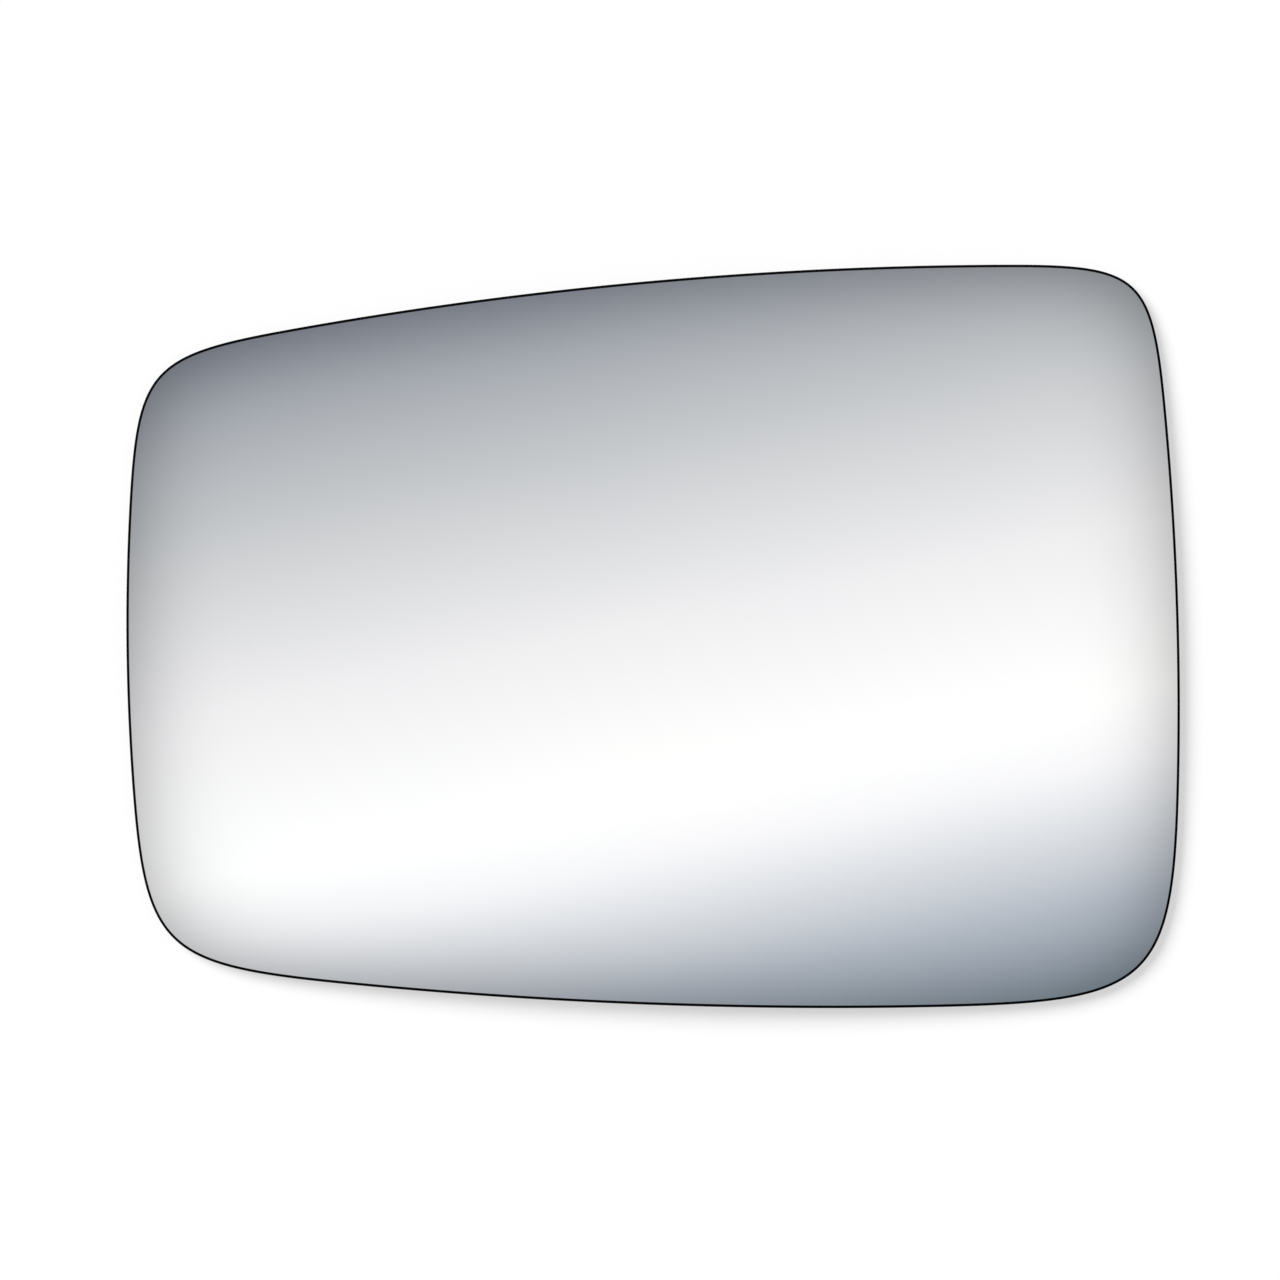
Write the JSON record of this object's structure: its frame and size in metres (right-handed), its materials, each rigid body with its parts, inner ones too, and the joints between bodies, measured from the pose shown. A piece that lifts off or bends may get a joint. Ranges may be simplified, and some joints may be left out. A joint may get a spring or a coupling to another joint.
{
  "type": "car door mirror glass",
  "caption": "Bare convex glass of a car's door mirror: a thin bent pane with a rounded four-sided outline, bowed edges, a fine ground arris and a mirrored face.",
  "frame": {"origin": "on the surface that the pane lies on, under the middle of its bounding box", "axes": "+X along the pane from its outboard end to its taller inboard end, +Y up the door, +Z out of the reflecting face"},
  "size_m": [0.165, 0.1164, 0.0051],
  "materials": {
    "mirror": "polished convex glass with a cool silver reflecting coat, finely ground dark edge and a matt protective coat on the back"
  },
  "bodies": {
    "root": {"mirror_glass": "mirror"}
  },
  "joints": []
}
